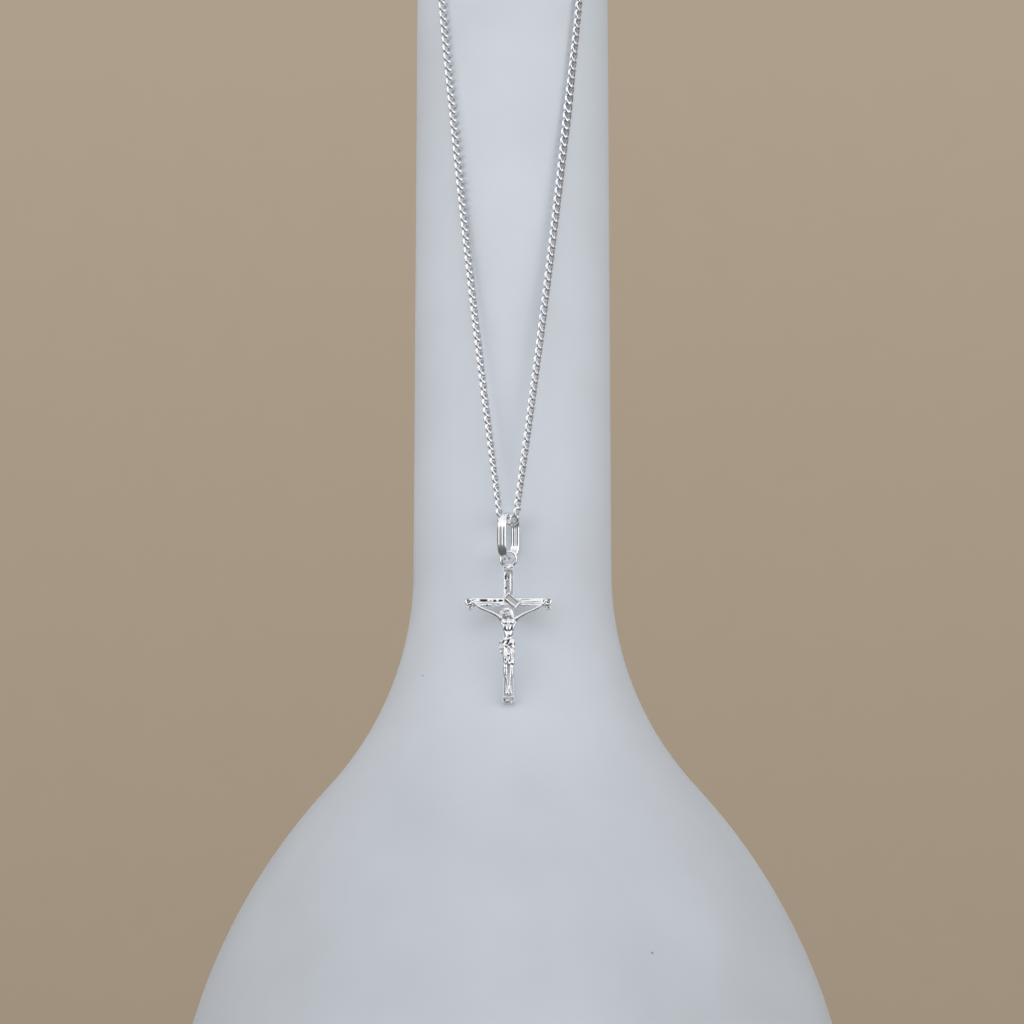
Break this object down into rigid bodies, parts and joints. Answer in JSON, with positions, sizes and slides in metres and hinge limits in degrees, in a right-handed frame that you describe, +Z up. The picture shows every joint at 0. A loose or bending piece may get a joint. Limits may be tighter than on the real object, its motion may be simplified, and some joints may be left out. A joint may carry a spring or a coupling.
{
  "type": "crucifix pendant necklace on display stand",
  "caption": "Small cast crucifix pendant on a round bail and a fine curb chain, draped over a long-necked white display stand.",
  "frame": {"origin": "middle of the stand's flat foot", "axes": "+Z up along the stand's neck; the pendant hangs on the -Y side; +X to the right of someone who looks at it"},
  "size_m": [0.1096, 0.1096, 0.343],
  "materials": {
    "stand_white": "matte white coating on cast resin",
    "chain_silver": "polished silver wire",
    "clasp_silver": "polished silver",
    "bail_silver": "polished silver",
    "cast_silver": "cast silver, polished on the high spots"
  },
  "bodies": {
    "root": {"display_stand": "stand_white", "chain": "chain_silver", "clasp": "clasp_silver"},
    "bail": {"bail": "bail_silver"},
    "crucifix": {"crucifix": "cast_silver"}
  },
  "joints": [
    {"name": "bail_swing", "type": "hinge", "parent": "root", "child": "bail", "pos_m": [-0.00065, -0.01935, 0.12494], "axis": [-0.9373, 0.3486, 0], "range_deg": [0, 70]},
    {"name": "crucifix_swing", "type": "hinge", "parent": "bail", "child": "crucifix", "pos_m": [-0.00065, -0.01935, 0.12012], "axis": [0, 0.9972, -0.0751], "range_deg": [-50, 50]}
  ]
}
